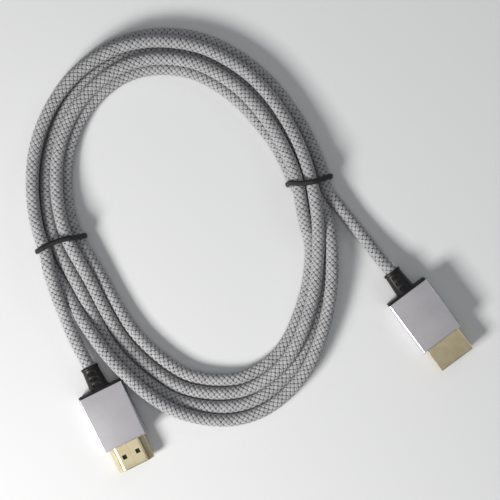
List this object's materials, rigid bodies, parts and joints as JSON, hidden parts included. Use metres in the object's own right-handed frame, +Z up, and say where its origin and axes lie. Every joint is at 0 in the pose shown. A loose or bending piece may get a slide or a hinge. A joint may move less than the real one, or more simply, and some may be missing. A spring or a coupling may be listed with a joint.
{
  "type": "hdmi cable",
  "caption": "Coiled braided audio-video cable, held by elastic ties, with a flat gold-plated plug in an aluminium sleeve at each end.",
  "frame": {"origin": "on the surface that the cable lies on, under the middle of the box around the coil, leads and plugs", "axes": "+Z up from the surface; +Y towards the side of the coil away from the plugs; +X towards the plug with its wide face up"},
  "size_m": [0.1606, 0.1608, 0.0133],
  "materials": {
    "braid": "woven grey nylon braid with dark flecks",
    "elastic": "matt black elastic cord",
    "black_moulding": "fine matt black moulding",
    "anodised": "bead-blasted grey anodised, bright cut chamfers",
    "gold_plate": "satin pale gold plating",
    "carrier_plastic": "black moulded",
    "contact_gold": "bright gold plating"
  },
  "bodies": {
    "root": {"cable_coil": "braid", "cable_lead_a": "braid", "cable_lead_b": "braid", "tie_left": "elastic", "tie_right": "elastic", "plug_a_sleeve": "anodised", "plug_a_overmold": "black_moulding", "plug_a_shell": "gold_plate", "plug_a_carrier": "carrier_plastic", "plug_a_contacts_upper": "contact_gold", "plug_a_contacts_lower": "contact_gold", "plug_b_sleeve": "anodised", "plug_b_overmold": "black_moulding", "plug_b_shell": "gold_plate", "plug_b_carrier": "carrier_plastic", "plug_b_contacts_upper": "contact_gold", "plug_b_contacts_lower": "contact_gold"}
  },
  "joints": []
}
